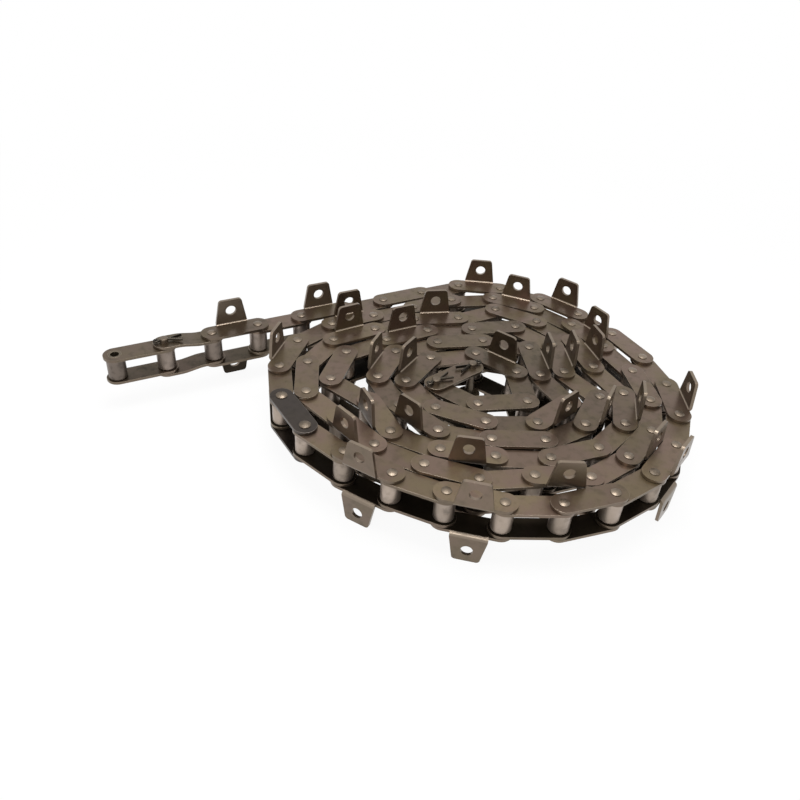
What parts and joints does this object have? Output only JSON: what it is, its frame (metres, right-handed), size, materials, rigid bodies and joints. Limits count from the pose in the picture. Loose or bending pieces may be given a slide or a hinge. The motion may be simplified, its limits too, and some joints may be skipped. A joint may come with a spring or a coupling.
{
  "type": "conveyor chain",
  "caption": "Steel roller conveyor chain with bent attachment tabs, laid on its side as a coil with a straight, jointed free end.",
  "frame": {"origin": "on the axis of the open bush at the chain's free end, half-way across the chain", "axes": "+X along the straight free run towards the coil, +Z along the pins and up as the chain lies, +Y away from the coil, to the tab side"},
  "size_m": [0.4424, 0.3231, 0.0762],
  "materials": {
    "plate_steel": "oiled, scale-grey rolled steel, warm grey-brown, semi-gloss",
    "roller_steel": "satin turned steel with a thin oil film",
    "bush_steel": "satin case-hardened steel",
    "pin_steel": "bright upset heads, oiled",
    "cotter_steel": "dull zinc-grey wire",
    "dark_steel": "blued, near-black steel, semi-gloss"
  },
  "bodies": {
    "coil": {"coil_roller_link_plates_upper": "plate_steel", "coil_roller_link_plates_lower": "plate_steel", "coil_bushes": "bush_steel", "coil_rollers": "roller_steel", "coil_plain_plates_upper": "plate_steel", "coil_plain_plates_lower": "plate_steel", "coil_tab_plates_upper": "plate_steel", "coil_tab_plates_lower": "plate_steel", "coil_pins": "pin_steel", "dark_link_plate_upper": "dark_steel", "dark_link_plate_lower": "dark_steel", "dark_link_pins": "pin_steel", "dark_link_cotter_pins": "cotter_steel"},
    "end_link": {"end_link_plate_upper": "plate_steel", "end_link_plate_lower": "plate_steel", "end_link_bush_free": "bush_steel", "end_link_bush_pinned": "bush_steel"},
    "offset_link": {"offset_link_plate_upper": "plate_steel", "offset_link_plate_lower": "plate_steel", "offset_link_pin": "pin_steel", "offset_link_cotter_pin": "cotter_steel", "offset_link_bush": "bush_steel"},
    "tab_link_1": {"tab_link_1_plate_upper": "plate_steel", "tab_link_1_plate_lower": "plate_steel", "tab_link_1_pins": "pin_steel"},
    "roller_link_1": {"roller_link_1_plate_upper": "plate_steel", "roller_link_1_plate_lower": "plate_steel", "roller_link_1_bushes": "bush_steel"},
    "tab_link_2": {"tab_link_2_plate_upper": "plate_steel", "tab_link_2_plate_lower": "plate_steel", "tab_link_2_pins": "pin_steel"},
    "roller_link_2": {"roller_link_2_plate_upper": "plate_steel", "roller_link_2_plate_lower": "plate_steel", "roller_link_2_bushes": "bush_steel"},
    "plain_link": {"plain_link_plate_upper": "plate_steel", "plain_link_plate_lower": "plate_steel", "plain_link_pins": "pin_steel"},
    "roller_link_3": {"roller_link_3_plate_upper": "plate_steel", "roller_link_3_plate_lower": "plate_steel", "roller_link_3_bushes": "bush_steel"},
    "inner_end_link": {"inner_end_link_plate_upper": "plate_steel", "inner_end_link_plate_lower": "plate_steel", "inner_end_link_pins": "pin_steel", "inner_end_link_cotter_pins": "cotter_steel"},
    "end_link_roller_free": {"end_link_roller_free": "roller_steel"},
    "end_link_roller_pinned": {"end_link_roller_pinned": "roller_steel"},
    "offset_link_roller": {"offset_link_roller": "roller_steel"},
    "roller_link_1_roller_a": {"roller_link_1_roller_a": "roller_steel"},
    "roller_link_1_roller_b": {"roller_link_1_roller_b": "roller_steel"},
    "roller_link_2_roller_a": {"roller_link_2_roller_a": "roller_steel"},
    "roller_link_2_roller_b": {"roller_link_2_roller_b": "roller_steel"},
    "roller_link_3_roller_a": {"roller_link_3_roller_a": "roller_steel"},
    "roller_link_3_roller_b": {"roller_link_3_roller_b": "roller_steel"}
  },
  "joints": [
    {"name": "pin_8_hinge", "type": "hinge", "parent": "coil", "child": "roller_link_3", "pos_m": [0.3312, 0, 0], "axis": [0, 0, 1], "range_deg": [-25, 0]},
    {"name": "pin_7_hinge", "type": "hinge", "parent": "roller_link_3", "child": "plain_link", "pos_m": [0.2898, 0, 0], "axis": [0, 0, 1], "range_deg": [-25, 0]},
    {"name": "pin_6_hinge", "type": "hinge", "parent": "plain_link", "child": "roller_link_2", "pos_m": [0.2484, 0, 0], "axis": [0, 0, 1], "range_deg": [-25, 0]},
    {"name": "pin_5_hinge", "type": "hinge", "parent": "roller_link_2", "child": "tab_link_2", "pos_m": [0.207, 0, 0], "axis": [0, 0, 1], "range_deg": [-25, 0]},
    {"name": "pin_4_hinge", "type": "hinge", "parent": "tab_link_2", "child": "roller_link_1", "pos_m": [0.1656, 0, 0], "axis": [0, 0, 1], "range_deg": [-30, 8]},
    {"name": "pin_3_hinge", "type": "hinge", "parent": "roller_link_1", "child": "tab_link_1", "pos_m": [0.1242, 0, 0], "axis": [0, 0, 1], "range_deg": [-40, 15]},
    {"name": "pin_2_hinge", "type": "hinge", "parent": "tab_link_1", "child": "offset_link", "pos_m": [0.0828, 0, 0], "axis": [0, 0, 1], "range_deg": [-50, 30]},
    {"name": "pin_1_hinge", "type": "hinge", "parent": "offset_link", "child": "end_link", "pos_m": [0.0414, 0, 0], "axis": [0, 0, 1], "range_deg": [-90, 70]},
    {"name": "inner_end_hinge", "type": "hinge", "parent": "coil", "child": "inner_end_link", "pos_m": [0.23156, -0.13734, 0], "axis": [0, 0, 1], "range_deg": [-40, 0]},
    {"name": "end_link_roller_free_spin", "type": "hinge", "parent": "end_link", "child": "end_link_roller_free", "pos_m": [0, 0, 0], "axis": [0, 0, 1], "continuous": true},
    {"name": "end_link_roller_pinned_spin", "type": "hinge", "parent": "end_link", "child": "end_link_roller_pinned", "pos_m": [0.0414, 0, 0], "axis": [0, 0, 1], "continuous": true},
    {"name": "offset_link_roller_spin", "type": "hinge", "parent": "offset_link", "child": "offset_link_roller", "pos_m": [0.0828, 0, 0], "axis": [0, 0, 1], "continuous": true},
    {"name": "roller_link_1_roller_a_spin", "type": "hinge", "parent": "roller_link_1", "child": "roller_link_1_roller_a", "pos_m": [0.1242, 0, 0], "axis": [0, 0, 1], "continuous": true},
    {"name": "roller_link_1_roller_b_spin", "type": "hinge", "parent": "roller_link_1", "child": "roller_link_1_roller_b", "pos_m": [0.1656, 0, 0], "axis": [0, 0, 1], "continuous": true},
    {"name": "roller_link_2_roller_a_spin", "type": "hinge", "parent": "roller_link_2", "child": "roller_link_2_roller_a", "pos_m": [0.207, 0, 0], "axis": [0, 0, 1], "continuous": true},
    {"name": "roller_link_2_roller_b_spin", "type": "hinge", "parent": "roller_link_2", "child": "roller_link_2_roller_b", "pos_m": [0.2484, 0, 0], "axis": [0, 0, 1], "continuous": true},
    {"name": "roller_link_3_roller_a_spin", "type": "hinge", "parent": "roller_link_3", "child": "roller_link_3_roller_a", "pos_m": [0.2898, 0, 0], "axis": [0, 0, 1], "continuous": true},
    {"name": "roller_link_3_roller_b_spin", "type": "hinge", "parent": "roller_link_3", "child": "roller_link_3_roller_b", "pos_m": [0.3312, 0, 0], "axis": [0, 0, 1], "continuous": true}
  ]
}
